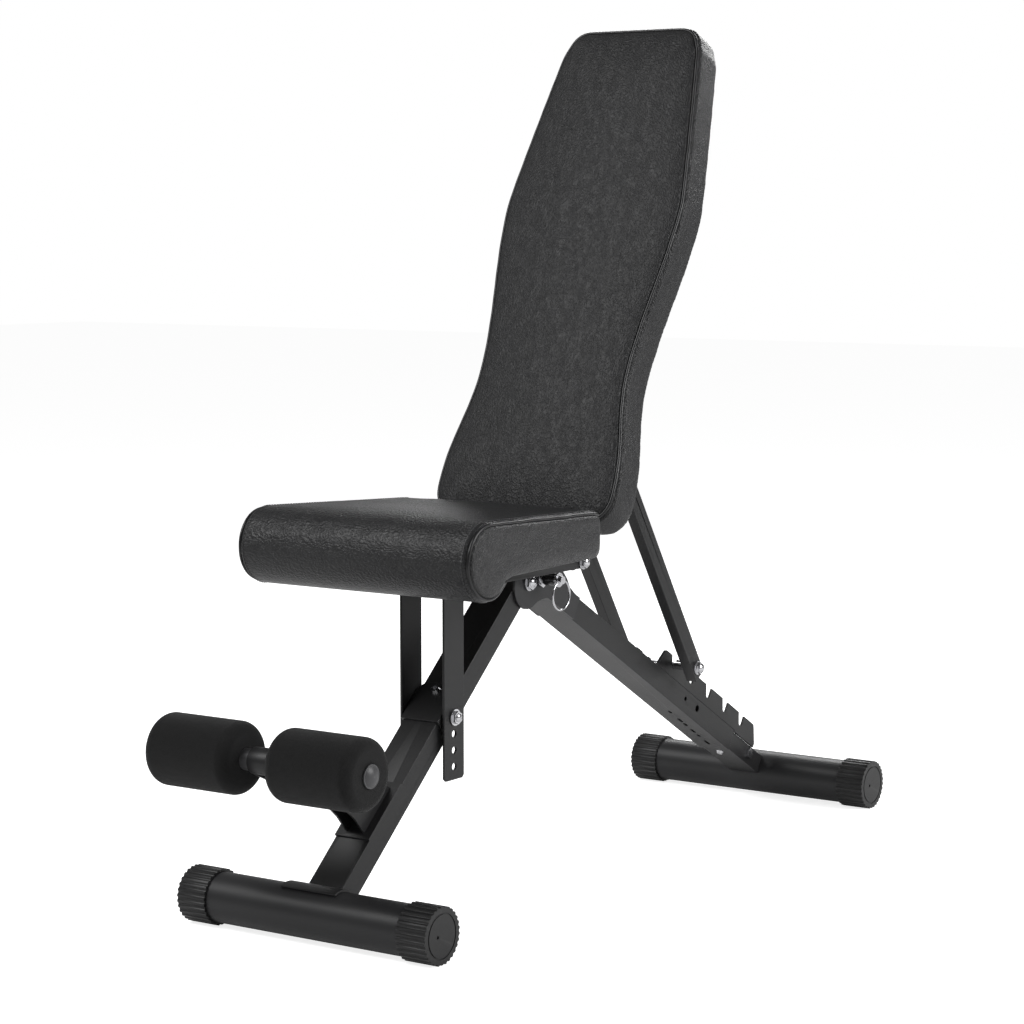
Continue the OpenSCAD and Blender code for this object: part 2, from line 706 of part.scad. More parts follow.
board_front_y = roll_c[0] + 30;
module seat_pad() {
    color(pad_black) difference() {
        intersection() {
            across(-seat_w, seat_w) seat_profile();
            linear_extrude(2 * pivot_h) polygon([
                [-seat_w / 2, seat_front_y - 1], [seat_w / 2, seat_front_y - 1], [seat_w / 2, roll_c[0]],
                [seat_rear_w / 2, seat_rear_y], [-seat_rear_w / 2, seat_rear_y], [-seat_w / 2, roll_c[0]]
            ]);
        }
        seat_board_blank(0.2);
    }
}

module seat_board_blank(extra) {
    translate([0, 0, seat_bottom - extra]) linear_extrude(board_t + 2 * extra)
        seat_plan(14 - extra, rail_front_y - 12 - extra, seat_rear_y - 14 + extra);
}

module seat_board() {
    color([0.2, 0.18, 0.16]) difference() {
        seat_board_blank(0);
        seat_screw_places() translate([0, 0, -1]) cylinder(h = board_t + 2, d = 6);
    }
}

// Places of the screws that hold the rails to the board.
module seat_screw_places() {
    for (side = [-1, 1], y = [rail_front_y + 40, seat_rear_y - 34])
        translate([side * (rail_x - rail_flange / 2 - 2), y, seat_bottom]) children();
}

// An angle rail: a deep upright flange that reaches the hinge and a short flat one under the board.
module seat_rail(side) {
    color(frame_black) difference() {
        on_side(side) {
            across(rail_x - plate_t, rail_x) union() {
                polygon([
                    [rail_front_y, rail_bottom + 10], [rail_front_y + 10, rail_bottom], [K[0], rail_bottom],
                    [K[0], seat_bottom - 6], [seat_rear_y, seat_bottom], [rail_front_y, seat_bottom]
                ]);
                translate(K) circle(r = 8);
                translate([K[0], rail_bottom + 8]) square([8, 6]);
            }
            translate([rail_x - rail_flange, rail_front_y, seat_bottom - plate_t])
                cube([rail_flange - plate_t, seat_rear_y - 6 - rail_front_y, plate_t]);
        }
        bar_x(K, hinge_bolt_d + 2 * fit, -rail_x - 5, rail_x + 5);
        bar_x(T, hinge_bolt_d, -rail_x - 5, rail_x + 5);
        seat_screw_places() translate([0, 0, -10]) cylinder(h = 20, d = 6);
    }
}

module seat_screws() {
    color(bolt_silver) seat_screw_places() {
        translate([0, 0, -plate_t]) cylinder(h = plate_t + board_t, d = 6);
        translate([0, 0, -plate_t - 3]) cylinder(h = 3, d1 = 7, d2 = 12);
    }
}

// The cross pin that hangs both posts from the seat rails.
module post_pin() {
    color(bolt_silver) {
        bar_x(T, hinge_bolt_d, -rail_x - 2, rail_x + 2);
        for (side = [-1, 1]) on_side(side) dome_head(T, 15, 4, rail_x + 1);
    }
}

module post_pin_spacers() {
    color(frame_black) for (side = [-1, 1]) on_side(side) {
        ring_x(T, 15, hinge_bolt_d, post_out + side_gap, rail_x - plate_t);
    }
    color(frame_black) ring_x(T, 15, hinge_bolt_d, side_gap - post_x, post_x - side_gap);
}

// The post turns on its pin by post_ratio for each degree of seat tilt.
function seat_point(p, a) = K + [(p - K)[0] * cos(a) + (p - K)[1] * sin(a),
                                 -(p - K)[0] * sin(a) + (p - K)[1] * cos(a)];
T_high = seat_point(T, seat_range);
post_turn = atan2(B[0] - T_high[0], T_high[1] - B[1]) - atan2(B[0] - T[0], T[1] - B[1]);
// The post bolt's place in the post's own frame when the seat is tilted by the share t of its range.
function bolt_in_post(t) = let (
        pin = seat_point(T, t * seat_range),
        turn = t * post_turn,
        v = B - pin
    ) T + [v[0] * cos(turn) + v[1] * sin(turn), -v[0] * sin(turn) + v[1] * cos(turn)];

// A flat post with its height holes. A narrow slit joins the holes so that the bolt's neck can pass.
module post(side) {
    half = post_w / 2;
    top = T[1] + post_end;
    foot = bolt_in_post(1)[1] - 16;
    hole_d = hinge_bolt_d - 1;
    steps = 12;
    path = [for (i = [0 : steps]) bolt_in_post(i / steps)];
    color(frame_black) on_side(side) across(post_x, post_out) difference() {
        union() {
            translate([B[0] - half, foot]) square([post_w, T[1] - 6 - foot]);
            polygon([[B[0] - half, T[1] - 7], [B[0] + half, T[1] - 7], [T[0] + 9, top - 3],
                     [T[0] + 5, top], [T[0] - 5, top], [T[0] - 9, top - 3]]);
        }
        translate(T) circle(d = hinge_bolt_d + 2 * fit);
        for (i = [0 : post_holes - 1]) translate(bolt_in_post(i / (post_holes - 1))) circle(d = hole_d);
        for (i = [0 : steps - 1]) strip(path[i], path[i + 1], slit);
        for (i = [0 : steps]) translate(path[i]) circle(d = slit, $fn = 24);
        for (y = [-1, 1]) translate([B[0] + y * half, foot]) rotate(45) square(5, center = true);
    }
}

// ---- backrest ----

// Half the pad's width at a height z above the pad's bottom edge.
function ease(t) = (1 - cos(180 * t)) / 2;
waist_z = 0.29 * back_len;
shoulder_z = 0.635 * back_len;
function back_half(z) =
    z < 50 ? back_bottom_w / 2 :
    z < waist_z ? back_bottom_w / 2 + (back_waist_w - back_bottom_w) / 2 * ease((z - 50) / (waist_z - 50)) :
    z < shoulder_z ? back_waist_w / 2
        + (back_shoulder_w - back_waist_w) / 2 * ease((z - waist_z) / (shoulder_z - waist_z)) :
    back_shoulder_w / 2 - (back_shoulder_w - back_top_w) / 2
        * pow((z - shoulder_z) / (back_len - shoulder_z), 1.1);

// Outline of the pad, seen from its front, inset by a margin.
module back_outline(inset) {
    low_r = 34 - inset / 2;
    top_r = 24 - inset / 2;
    low = back_half(0) - inset - low_r;
    top = back_half(back_len) - inset - top_r;
    right = concat(
        [for (a = [-90 : 15 : 0]) [low + low_r * cos(a), inset + low_r + low_r * sin(a)]],
        [for (z = [50 : 25 : back_len - 40]) [back_half(z) - inset, z]],
        [for (a = [8 : 14 : 92]) [top + top_r * cos(a), back_len - inset - top_r + top_r * sin(a)]]
    );
    n = len(right) - 1;
    polygon(concat(right, [for (i = [n : -1 : 0]) [-right[i][0], right[i][1]]]));
}

// Extrudes the pad's outline from y0 to y1, in the backrest's frame.
module back_slab(y0, y1, inset) {
    at_backrest() translate([0, y1, pad_z0]) rotate([90, 0, 0]) linear_extrude(y1 - y0) back_outline(inset);
}

module backrest_pad() {
    color(pad_black) difference() {
        back_slab(pad_y0, pad_y1, 0);
        back_slab(pad_y1 - board_t - 0.2, pad_y1 + 1, 13.8);
    }
}

module backrest_board() {
    color([0.2, 0.18, 0.16]) difference() {
        back_slab(pad_y1 - board_t, pad_y1, 14);
        back_screw_places() translate([0, 0, -board_t - 1]) cylinder(h = board_t + 2, d = 6);
    }
}

// Places of the screws through the backrest tubes, pointing out of the pad's back.
module back_screw_places() {
    at_backrest() for (side = [-1, 1], z = [tube_z0 + 60, (tube_z0 + tube_z1) / 2 + 30, tube_z1 - 30])
        translate([side * tube_x, pad_y1, z]) rotate([-90, 0, 0]) children();
}

module backrest_tube(side) {
    color(frame_black) difference() {
        at_backrest() on_side(side) translate([tube_x, pad_y1 + back_tube / 2, 0]) back_tube_blank();
        bar_x(U, hinge_bolt_d, -leg_w * 2, leg_w * 2);
        back_screw_places() translate([0, 0, -1]) cylinder(h = back_tube + 2, d = 6);
    }
}

module back_tube_blank() {
    wall = 1.5;
    translate([0, 0, tube_z0]) difference() {
        translate([-back_tube / 2, -back_tube / 2, 0]) cube([back_tube, back_tube, tube_z1 - tube_z0]);
        translate([-back_tube / 2 + wall, -back_tube / 2 + wall, -1])
            cube([back_tube - 2 * wall, back_tube - 2 * wall, tube_z1 - tube_z0 + 2]);
    }
}

// A lug that carries a backrest tube down to the hinge bolt.
module backrest_lug(side) {
    color(frame_black) at_backrest() on_side(side) across(lug_x, lug_x + lug_t) difference() {
        union() {
            circle(r = 12);
            polygon([[-9, 0], [pad_y1 + 0.5, tube_z0], [pad_y1 + 0.5, tube_z0 + 60], [tube_y1, tube_z0 + 60],
                     [tube_y1 + 6, tube_z0 - 10], [9, 0]]);
        }
        circle(d = hinge_bolt_d + 2 * fit);
    }
}

module backrest_screws() {
    color(bolt_silver) back_screw_places() {
        translate([0, 0, -board_t + 1]) cylinder(h = board_t + back_tube - 1, d = 6);
        translate([0, 0, back_tube]) cylinder(h = 3.5, d1 = 12, d2 = 8);
    }
}

// A stub bolt on each side carries the strut's upper end on the backrest tubes.
module strut_pivot_bolts() {
    color(bolt_silver) for (side = [-1, 1]) on_side(side) {
        bar_x(U, hinge_bolt_d, tube_x - back_tube / 2 - 3, bar_out + side_gap + 1);
        bar_x(U, 15, lug_x, strut_in);
        bar_x(U, 18, bar_out + side_gap, bar_out + side_gap + 1.6);
        hex_x(U, 14, bar_out + side_gap + 1.6, bar_out + side_gap + 7);
        hex_x(U, 14, tube_x - back_tube / 2 - 8, tube_x - back_tube / 2);
    }
}

// ---- strut ----

bar_out = strut_in + side_gap + strut_w;

// A strut bar: a rectangular tube with a solid round end on its pivot.
module strut_bar(side) {
    wall = 1.5;
    end = 15;
    half = strut_d / 2;
    color(frame_black) on_side(side) difference() {
        translate([0, U[0], U[1]]) rotate([strut_angle, 0, 0]) difference() {
            across(strut_in + side_gap, bar_out) polygon(concat(
                [for (a = [90 : 15 : 270]) half * [cos(a), sin(a)]],
                [[strut_len + end, -half], [strut_len + end, half]]
            ));
            translate([strut_in + side_gap + wall, half + 4, wall - half])
                cube([strut_w - 2 * wall, strut_len + end, strut_d - 2 * wall]);
        }
        bar_x(U, hinge_bolt_d + 2 * fit, strut_in - 5, strut_in + 30);
        bar_x(rod, hinge_bolt_d, strut_in - 5, strut_in + 30);
    }
}

// The rod that joins both strut bars and drops into the ladder's notches.
module strut_rod() {
    color(bolt_silver) bar_x(rod, hinge_bolt_d, -bar_out - 4, bar_out + 4);
}

module strut_rod_nuts() {
    color(bolt_silver) for (side = [-1, 1]) on_side(side) difference() {
        union() {
            bar_x(rod, 18, bar_out, bar_out + 1.6);
            hex_x(rod, 14, bar_out + 1.6, bar_out + 6);
            dome_head(rod, 12, 4, bar_out + 6);
        }
        bar_x(rod, hinge_bolt_d, bar_out - 1, bar_out + 4);
    }
}

// ---- leg rollers ----

module roller(side) {
    r = roller_d / 2;
    bore = roller_tube_d / 2 + 0.3;
    edge = 13;
    color([0.14, 0.14, 0.14]) on_side(side) translate([roller_x0, R[0], R[1]]) rotate([0, 90, 0])
        rotate_extrude() difference() {
            union() {
                translate([bore, edge]) square([r - bore, roller_len - 2 * edge]);
                translate([bore, 0]) square([r - edge - bore, roller_len]);
                for (z = [edge, roller_len - edge]) translate([r - edge, z]) circle(r = edge);
            }
            translate([-r, -1]) square([r + bore, roller_len + 2]);
        }
}

front_leg();
head_plate(1);  // head_plate_left
head_plate(-1);  // head_plate_right
foot_tube(front_foot, front_foot_len);  // front_foot_tube
front_foot_saddle();
foot_cap(front_foot, front_foot_len, 1);  // front_cap_left
foot_cap(front_foot, front_foot_len, -1);  // front_cap_right
post_bracket();
bracket_screw();
post_bolt();
post_bolt_nut();
roller_arm();
roller_tube();
roller_plug(1);  // roller_plug_left
roller_plug(-1);  // roller_plug_right
fold_bolt();
fold_bolt_nut();
hinge_bolt();
hinge_bolt_nut();
hinge_spacers();
rear_leg();
hinge_bracket();
ladder();
rear_socket();
foot_tube(rear_foot, rear_foot_len);  // rear_foot_tube
foot_cap(rear_foot, rear_foot_len, 1);  // rear_cap_left
foot_cap(rear_foot, rear_foot_len, -1);  // rear_cap_right
socket_bolt();
socket_screw();
pin_housing();
pin_plunger();
pin_knob();
pin_knob_cap();
pin_spring();
pin_ring();
seat_pad();
seat_board();
seat_rail(1);  // seat_rail_left
seat_rail(-1);  // seat_rail_right
seat_screws();
post_pin();
post_pin_spacers();
post(1);  // post_left
post(-1);  // post_right
backrest_pad();
backrest_board();
backrest_tube(1);  // backrest_tube_left
backrest_tube(-1);  // backrest_tube_right
backrest_lug(1);  // backrest_lug_left
backrest_lug(-1);  // backrest_lug_right
backrest_screws();
strut_pivot_bolts();
strut_bar(1);  // strut_bar_left
strut_bar(-1);  // strut_bar_right
strut_rod();
strut_rod_nuts();
roller(1);  // roller_left
roller(-1);  // roller_right
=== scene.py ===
import json
import math

import bpy
import bmesh
from mathutils import Matrix, Vector
from mathutils.bvhtree import BVHTree
from mathutils.kdtree import KDTree


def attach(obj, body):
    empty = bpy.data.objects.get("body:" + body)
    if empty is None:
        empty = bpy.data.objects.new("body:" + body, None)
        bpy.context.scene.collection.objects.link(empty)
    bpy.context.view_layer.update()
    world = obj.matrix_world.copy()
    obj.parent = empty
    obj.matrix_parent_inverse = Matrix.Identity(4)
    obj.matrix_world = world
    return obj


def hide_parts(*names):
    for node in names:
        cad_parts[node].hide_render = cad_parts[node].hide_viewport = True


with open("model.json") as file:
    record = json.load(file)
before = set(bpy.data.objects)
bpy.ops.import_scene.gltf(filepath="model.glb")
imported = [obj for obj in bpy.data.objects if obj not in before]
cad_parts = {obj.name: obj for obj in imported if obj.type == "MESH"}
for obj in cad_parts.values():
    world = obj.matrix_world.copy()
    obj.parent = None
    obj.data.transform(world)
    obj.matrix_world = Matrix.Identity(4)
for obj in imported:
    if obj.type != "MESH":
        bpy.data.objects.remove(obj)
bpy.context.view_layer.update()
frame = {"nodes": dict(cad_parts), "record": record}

scene = bpy.context.scene

# ---- sizes, in metres ----

FRONT_FOOT_Y = -0.4608
HINGE = Vector((0.0, 0.0072, 0.396))        # seat and backrest hinge
BACK_ANGLE = math.radians(66)
PAD_START = 0.027                           # pad's bottom edge above the hinge, along the pad
PAD_FRONT, PAD_BACK = -0.081, -0.022        # faces of the pad, square to it
PAD_LEN = 0.680
PAD_HALF = {"bottom": 0.135, "waist": 0.114, "shoulder": 0.136, "top": 0.100}
ROLL = Vector((0.0, FRONT_FOOT_Y + 0.113, 0.4385))
ROLL_R = 0.0465
SEAT_BASE = 0.416
SEAT_REAR = HINGE.y - 0.090
SEAT_FALL = math.tan(math.radians(2.3))
SEAT_HALF_FRONT, SEAT_HALF_REAR = 0.169, 0.147
VOXEL = 0.0048                              # cell of a cushion's even mesh
SEAM_STEP = 0.004                           # distance between the points of a seam
WELT_R, WELT_LIFT = 0.0022, 0.0008          # a welt's radius and its centre above the groove's bottom
STITCH = {"length": 0.0031, "pitch": 0.0046, "radius": 0.00042, "lift": 0.0003}
CLOTH_FRAMES = 20


# ---- mesh helpers ----

def new_object(name, mesh):
    obj = bpy.data.objects.new(name, mesh)
    scene.collection.objects.link(obj)
    return obj


def from_bmesh(name, bm, smooth=True):
    mesh = bpy.data.meshes.new(name)
    bmesh.ops.recalc_face_normals(bm, faces=bm.faces)
    bm.to_mesh(mesh)
    bm.free()
    for face in mesh.polygons:
        face.use_smooth = smooth
    return new_object(name, mesh)


def bake(obj):
    """Turns an object and its modifiers into one plain mesh."""
    graph = bpy.context.evaluated_depsgraph_get()
    mesh = bpy.data.meshes.new_from_object(obj.evaluated_get(graph), depsgraph=graph)
    made = new_object(obj.name, mesh)
    name = obj.name
    bpy.data.objects.remove(obj)
    made.name = name
    return made


def rings_to_solid(name, rings):
    """A closed solid from rings that all have the same number of points."""
    bm = bmesh.new()
    loops = [[bm.verts.new(p) for p in ring] for ring in rings]
    n = len(loops[0])
    for a, b in zip(loops, loops[1:]):
        for i in range(n):
            bm.faces.new((a[i], a[(i + 1) % n], b[(i + 1) % n], b[i]))
    bm.faces.new(loops[0])
    bm.faces.new(loops[-1])
    bmesh.ops.triangulate(bm, faces=[f for f in bm.faces if len(f.verts) > 4])
    return from_bmesh(name, bm)


def tube_along(name, path, radius, closed, sides=10):
    """A round cord swept along a path."""
    bm = bmesh.new()
    n = len(path)
    rings = []
    side = None
    for i, p in enumerate(path):
        before = path[(i - 1) % n] if closed or i else path[0]
        after = path[(i + 1) % n] if closed or i < n - 1 else path[-1]
        along = (after - before).normalized()
        if side is None:
            side = along.orthogonal().normalized()
        side = (side - along * side.dot(along)).normalized()
        up = along.cross(side)
        rings.append([bm.verts.new(p + radius * (math.cos(a) * side + math.sin(a) * up))
                      for a in (2 * math.pi * k / sides for k in range(sides))])
    pairs = list(zip(rings, rings[1:]))
    if closed:
        last, first = rings[-1], rings[0]
        turn = min(range(sides), key=lambda k: (first[k].co - last[0].co).length)
        pairs.append((last, first[turn:] + first[:turn]))
    for a, b in pairs:
        for k in range(sides):
            bm.faces.new((a[k], a[(k + 1) % sides], b[(k + 1) % sides], b[k]))
    if not closed:
        bm.faces.new(rings[0])
        bm.faces.new(rings[-1])
    return from_bmesh(name, bm)


def resample(path, step, closed):
    """Points an even step apart along a path."""
    pts = list(path) + ([path[0]] if closed else [])
    lengths = [0.0]
    for a, b in zip(pts, pts[1:]):
        lengths.append(lengths[-1] + (b - a).length)
    count = max(2, round(lengths[-1] / step))
    out, j = [], 0
    for i in range(count if closed else count + 1):
        d = lengths[-1] * i / count
        while j < len(lengths) - 2 and lengths[j + 1] < d:
            j += 1
        span = lengths[j + 1] - lengths[j]
        out.append(pts[j].lerp(pts[j + 1], (d - lengths[j]) / span if span else 0.0))
    return out


def ease(t):
    t = min(max(t, 0.0), 1.0)
    return t * t * (3 - 2 * t)


# ---- materials ----

def finish(name, color, rough, *, metal=0.0, vary=0.25, vary_scale=9.0, grain=None, bump=0.0, coat=0.0,
           edge=0.0, edge_color=(0.35, 0.35, 0.36), sheen=0.0, specular=0.5, rough_vary=0.08):
    """A node material with mottled colour and roughness, a surface grain and worn edges."""
    mat = bpy.data.materials.new(name)
    mat.use_nodes = True
    tree = mat.node_tree
    nodes, links = tree.nodes, tree.links
    shader = nodes["Principled BSDF"]
    shader.inputs["Metallic"].default_value = metal
    shader.inputs["Specular IOR Level"].default_value = specular
    if coat:
        shader.inputs["Coat Weight"].default_value = coat
        shader.inputs["Coat Roughness"].default_value = 0.25
    if sheen:
        shader.inputs["Sheen Weight"].default_value = sheen
        shader.inputs["Sheen Roughness"].default_value = 0.4
    place = nodes.new("ShaderNodeTexCoord")
    mottle = nodes.new("ShaderNodeTexNoise")
    mottle.inputs["Scale"].default_value = vary_scale
    mottle.inputs["Detail"].default_value = 4.0
    links.new(place.outputs["Object"], mottle.inputs["Vector"])
    shade = nodes.new("ShaderNodeMix")
    shade.data_type = "RGBA"
    low = [c * (1 - vary) for c in color] + [1.0]
    high = [min(1.0, c * (1 + vary)) for c in color] + [1.0]
    shade.inputs[6].default_value = low
    shade.inputs[7].default_value = high
    links.new(mottle.outputs["Fac"], shade.inputs[0])
    colour = shade.outputs[2]
    if edge:
        geometry = nodes.new("ShaderNodeNewGeometry")
        ramp = nodes.new("ShaderNodeMapRange")
        ramp.inputs["From Min"].default_value = 0.52
        ramp.inputs["From Max"].default_value = 0.62
        ramp.inputs["To Max"].default_value = edge
        links.new(geometry.outputs["Pointiness"], ramp.inputs["Value"])
        worn = nodes.new("ShaderNodeMix")
        worn.data_type = "RGBA"
        worn.inputs[7].default_value = list(edge_color) + [1.0]
        links.new(ramp.outputs["Result"], worn.inputs[0])
        links.new(colour, worn.inputs[6])
        colour = worn.outputs[2]
    links.new(colour, shader.inputs["Base Color"])
    gloss = nodes.new("ShaderNodeMapRange")
    gloss.inputs["To Min"].default_value = max(0.02, rough - rough_vary)
    gloss.inputs["To Max"].default_value = min(1.0, rough + rough_vary)
    links.new(mottle.outputs["Fac"], gloss.inputs["Value"])
    links.new(gloss.outputs["Result"], shader.inputs["Roughness"])
    if grain:
        links.new(grain(nodes, links, place, bump), shader.inputs["Normal"])
    return mat


def bump_from(nodes, links, height, distance, strength=1.0):
    bump = nodes.new("ShaderNodeBump")
    bump.inputs["Strength"].default_value = strength
    bump.inputs["Distance"].default_value = distance
    links.new(height, bump.inputs["Height"])
    return bump.outputs["Normal"]


def leather_grain(scale=330.0, stretch=(1.0, 1.0, 1.0)):
    """Creased pebbles: cells pulled about by a slow noise, with finer wrinkles over them."""
    def build(nodes, links, place, distance):
        lay = nodes.new("ShaderNodeMapping")
        lay.inputs["Scale"].default_value = stretch
        links.new(place.outputs["Object"], lay.inputs["Vector"])
        pull = nodes.new("ShaderNodeTexNoise")
        pull.inputs["Scale"].default_value = 60.0
        pull.inputs["Detail"].default_value = 2.0
        links.new(lay.outputs["Vector"], pull.inputs["Vector"])
        shift = nodes.new("ShaderNodeVectorMath")
        shift.operation = "MULTIPLY_ADD"
        shift.inputs[1].default_value = (0.012, 0.012, 0.012)
        links.new(pull.outputs["Color"], shift.inputs[0])
        links.new(lay.outputs["Vector"], shift.inputs[2])
        cells = nodes.new("ShaderNodeTexVoronoi")
        cells.feature = "SMOOTH_F1"
        cells.inputs["Scale"].default_value = scale
        cells.inputs["Smoothness"].default_value = 0.6
        links.new(shift.outputs["Vector"], cells.inputs["Vector"])
        fine = nodes.new("ShaderNodeTexNoise")
        fine.inputs["Scale"].default_value = scale * 2.2
        fine.inputs["Detail"].default_value = 3.0
        links.new(shift.outputs["Vector"], fine.inputs["Vector"])
        both = nodes.new("ShaderNodeMath")
        both.operation = "MULTIPLY_ADD"
        both.inputs[1].default_value = 0.5
        links.new(fine.outputs["Fac"], both.inputs[0])
        links.new(cells.outputs["Distance"], both.inputs[2])
        return bump_from(nodes, links, both.outputs["Value"], distance)
    return build


def noise_grain(scale, detail=3.0):
    """A plain even grain, such as powder coat or foam."""
    def build(nodes, links, place, distance):
        grain = nodes.new("ShaderNodeTexNoise")
        grain.inputs["Scale"].default_value = scale
        grain.inputs["Detail"].default_value = detail
        links.new(place.outputs["Object"], grain.inputs["Vector"])
        return bump_from(nodes, links, grain.outputs["Fac"], distance)
    return build


LEATHER = finish("grained black leatherette", (0.017, 0.017, 0.018), 0.44, vary=0.06, specular=0.40, coat=0.03,
                 grain=leather_grain(560.0, (1.0, 1.0, 0.62)), bump=0.0008, rough_vary=0.02)
SEAT_LEATHER = finish("seat leatherette", (0.016, 0.016, 0.017), 0.38, vary=0.06, specular=0.42, coat=0.05,
                      grain=leather_grain(440.0, (0.62, 1.0, 1.0)), bump=0.0009, rough_vary=0.02)
WELT = finish("satin welt", (0.010, 0.010, 0.011), 0.33, grain=noise_grain(900.0), bump=0.0001, specular=0.5)
THREAD = finish("black thread", (0.075, 0.075, 0.078), 0.55, grain=noise_grain(2500.0), bump=0.0002)
POWDER = finish("satin black powder coat", (0.013, 0.013, 0.0135), 0.42, grain=noise_grain(1500.0),
                bump=0.00006, vary=0.12, edge=0.2, edge_color=(0.06, 0.06, 0.065), specular=0.42)
CAP_PLASTIC = finish("fluted cap plastic", (0.014, 0.014, 0.0145), 0.42, grain=noise_grain(1200.0),
                     bump=0.00008, edge=0.2, edge_color=(0.08, 0.08, 0.08), specular=0.45)
KNOB_PLASTIC = finish("knob plastic", (0.010, 0.010, 0.011), 0.2, grain=noise_grain(900.0), bump=0.00003,
                      coat=0.3)
PLUG_PLASTIC = finish("grey plug plastic", (0.055, 0.055, 0.058), 0.40, grain=noise_grain(900.0), bump=0.00006,
                      edge=0.2)
CHROME = finish("bright plating", (0.62, 0.62, 0.64), 0.16, metal=1.0, vary=0.12, grain=noise_grain(600.0, 2.0),
                bump=0.000008, edge=0.3, edge_color=(0.85, 0.85, 0.87), rough_vary=0.05)
GREY_TUBE = finish("satin grey tube", (0.11, 0.11, 0.115), 0.34, metal=0.6, grain=noise_grain(900.0),
                   bump=0.00004, edge=0.2)
FOAM = finish("fuzzy foam", (0.014, 0.014, 0.0142), 0.92, grain=noise_grain(1100.0, 5.0), bump=0.0009,
              vary=0.35, vary_scale=220.0, sheen=0.12, specular=0.22)
BOARD = finish("plain plywood", (0.10, 0.075, 0.05), 0.7, grain=noise_grain(260.0, 4.0), bump=0.0003, vary=0.3,
               vary_scale=30.0)

SLOT_FINISH = {
    "black_frame": POWDER, "fasteners": CHROME, "grey_tube": GREY_TUBE, "cap_plastic": CAP_PLASTIC,
    "grip_plastic": KNOB_PLASTIC, "plug_plastic": PLUG_PLASTIC, "leatherette": LEATHER, "plywood": BOARD,
    "foam": FOAM,
}
SLOT_OF = {part["node"]: part["material_slot"] for part in frame["record"]["subparts"]}


def dress(obj, mat):
    obj.data.materials.clear()
    obj.data.materials.append(mat)


for node_name, node in frame["nodes"].items():
    dress(node, SLOT_FINISH[SLOT_OF[node_name]])


# Pressed and welded steel has softly rounded edges, which catch the light.
ROUNDED = {
    "front_leg": 1.6, "rear_leg": 1.8, "strut_bar_left": 1.6, "strut_bar_right": 1.6,
    "backrest_tube_left": 1.6, "backrest_tube_right": 1.6, "ladder": 0.5, "hinge_bracket": 0.6,
    "post_bracket": 0.6, "roller_arm": 0.6, "seat_rail_left": 0.5, "seat_rail_right": 0.5, "rear_socket": 0.6,
    "backrest_lug_left": 0.5, "backrest_lug_right": 0.5, "head_plate_left": 0.5, "head_plate_right": 0.5,
    "front_foot_saddle": 0.5, "front_cap_left": 0.6, "front_cap_right": 0.6, "rear_cap_left": 0.6,
    "rear_cap_right": 0.6, "pin_housing": 0.4, "pin_knob": 0.8, "pin_knob_cap": 0.6, "fold_bolt": 0.4,
    "hinge_bolt": 0.4, "post_bolt": 0.4,
}
for node_name, width in ROUNDED.items():
    node = frame["nodes"][node_name]
    weld = node.modifiers.new("weld", "WELD")
    weld.merge_threshold = 0.00002
    bevel = node.modifiers.new("rounded edges", "BEVEL")
    bevel.width = width / 1000
    bevel.segments = 2
    bevel.limit_method = "ANGLE"
    bevel.angle_limit = math.radians(40)
    bevel.harden_normals = False


# ---- cushions ----

def cushion(base, seams, cap, fixed, groove=0.0026, groove_reach=0.0065):
    """Inflates a base shape like a stuffed cover whose seams are sewn down, then grooves it along them.

    No point moves further than cap, and the points where fixed holds stay where they are.
    """
    remesh = base.modifiers.new("voxels", "REMESH")
    remesh.mode = "VOXEL"
    remesh.voxel_size = VOXEL
    pad = bake(base)
    tree = KDTree(sum(len(s) for s in seams))
    for i, p in enumerate(p for s in seams for p in s):
        tree.insert(p, i)
    tree.balance()
    rest = [v.co.copy() for v in pad.data.vertices]
    reach = [tree.find(p)[2] for p in rest]
    loose = [ease((d - 0.004) / 0.045) * (0.0 if fixed(p) else 1.0) for d, p in zip(reach, rest)]
    pins = pad.vertex_groups.new(name="sewn")
    for i, w in enumerate(loose):
        pins.add([i], 1.0 - w, "REPLACE")
    cloth = pad.modifiers.new("cover", "CLOTH")
    cloth.settings.vertex_group_mass = "sewn"
    cloth.settings.use_pressure = True
    cloth.settings.uniform_pressure_force = 4.0
    cloth.settings.quality = 4
    cloth.settings.mass = 0.35
    cloth.settings.tension_stiffness = 12
    cloth.settings.bending_stiffness = 1.2
    cloth.settings.effector_weights.gravity = 0.0
    cloth.point_cache.frame_start, cloth.point_cache.frame_end = 1, CLOTH_FRAMES
    for f in range(1, CLOTH_FRAMES + 1):
        scene.frame_set(f)
    graph = bpy.context.evaluated_depsgraph_get()
    swollen = [v.co.copy() for v in pad.evaluated_get(graph).data.vertices]
    pad.modifiers.remove(cloth)
    scene.frame_set(1)
    grown = []
    for p, q, w in zip(rest, swollen, loose):
        move = q - p
        limit = cap * w
        if move.length > limit:
            move *= limit / move.length if move.length else 0.0
        grown.append(p + move)
    for v, p in zip(pad.data.vertices, grown):
        v.co = p
    smooth = pad.modifiers.new("even", "SMOOTH")
    smooth.factor = 0.5
    smooth.iterations = 3
    finer = pad.modifiers.new("finer", "SUBSURF")
    finer.levels = finer.render_levels = 1
    pad = bake(pad)
    for v in pad.data.vertices:
        d = tree.find(v.co)[2]
        if d < groove_reach:
            v.co -= v.normal * groove * (1 - (d / groove_reach) ** 2)
    for face in pad.data.polygons:
        face.use_smooth = True
    return pad


def back_point(x, out, up):
    """A point of the backrest: x across, out from its back, up along it from the pad's bottom edge."""
    a = BACK_ANGLE - math.pi / 2
    s = up + PAD_START
    return Vector((x, HINGE.y + out * math.cos(a) - s * math.sin(a),
                   HINGE.z + out * math.sin(a) + s * math.cos(a)))


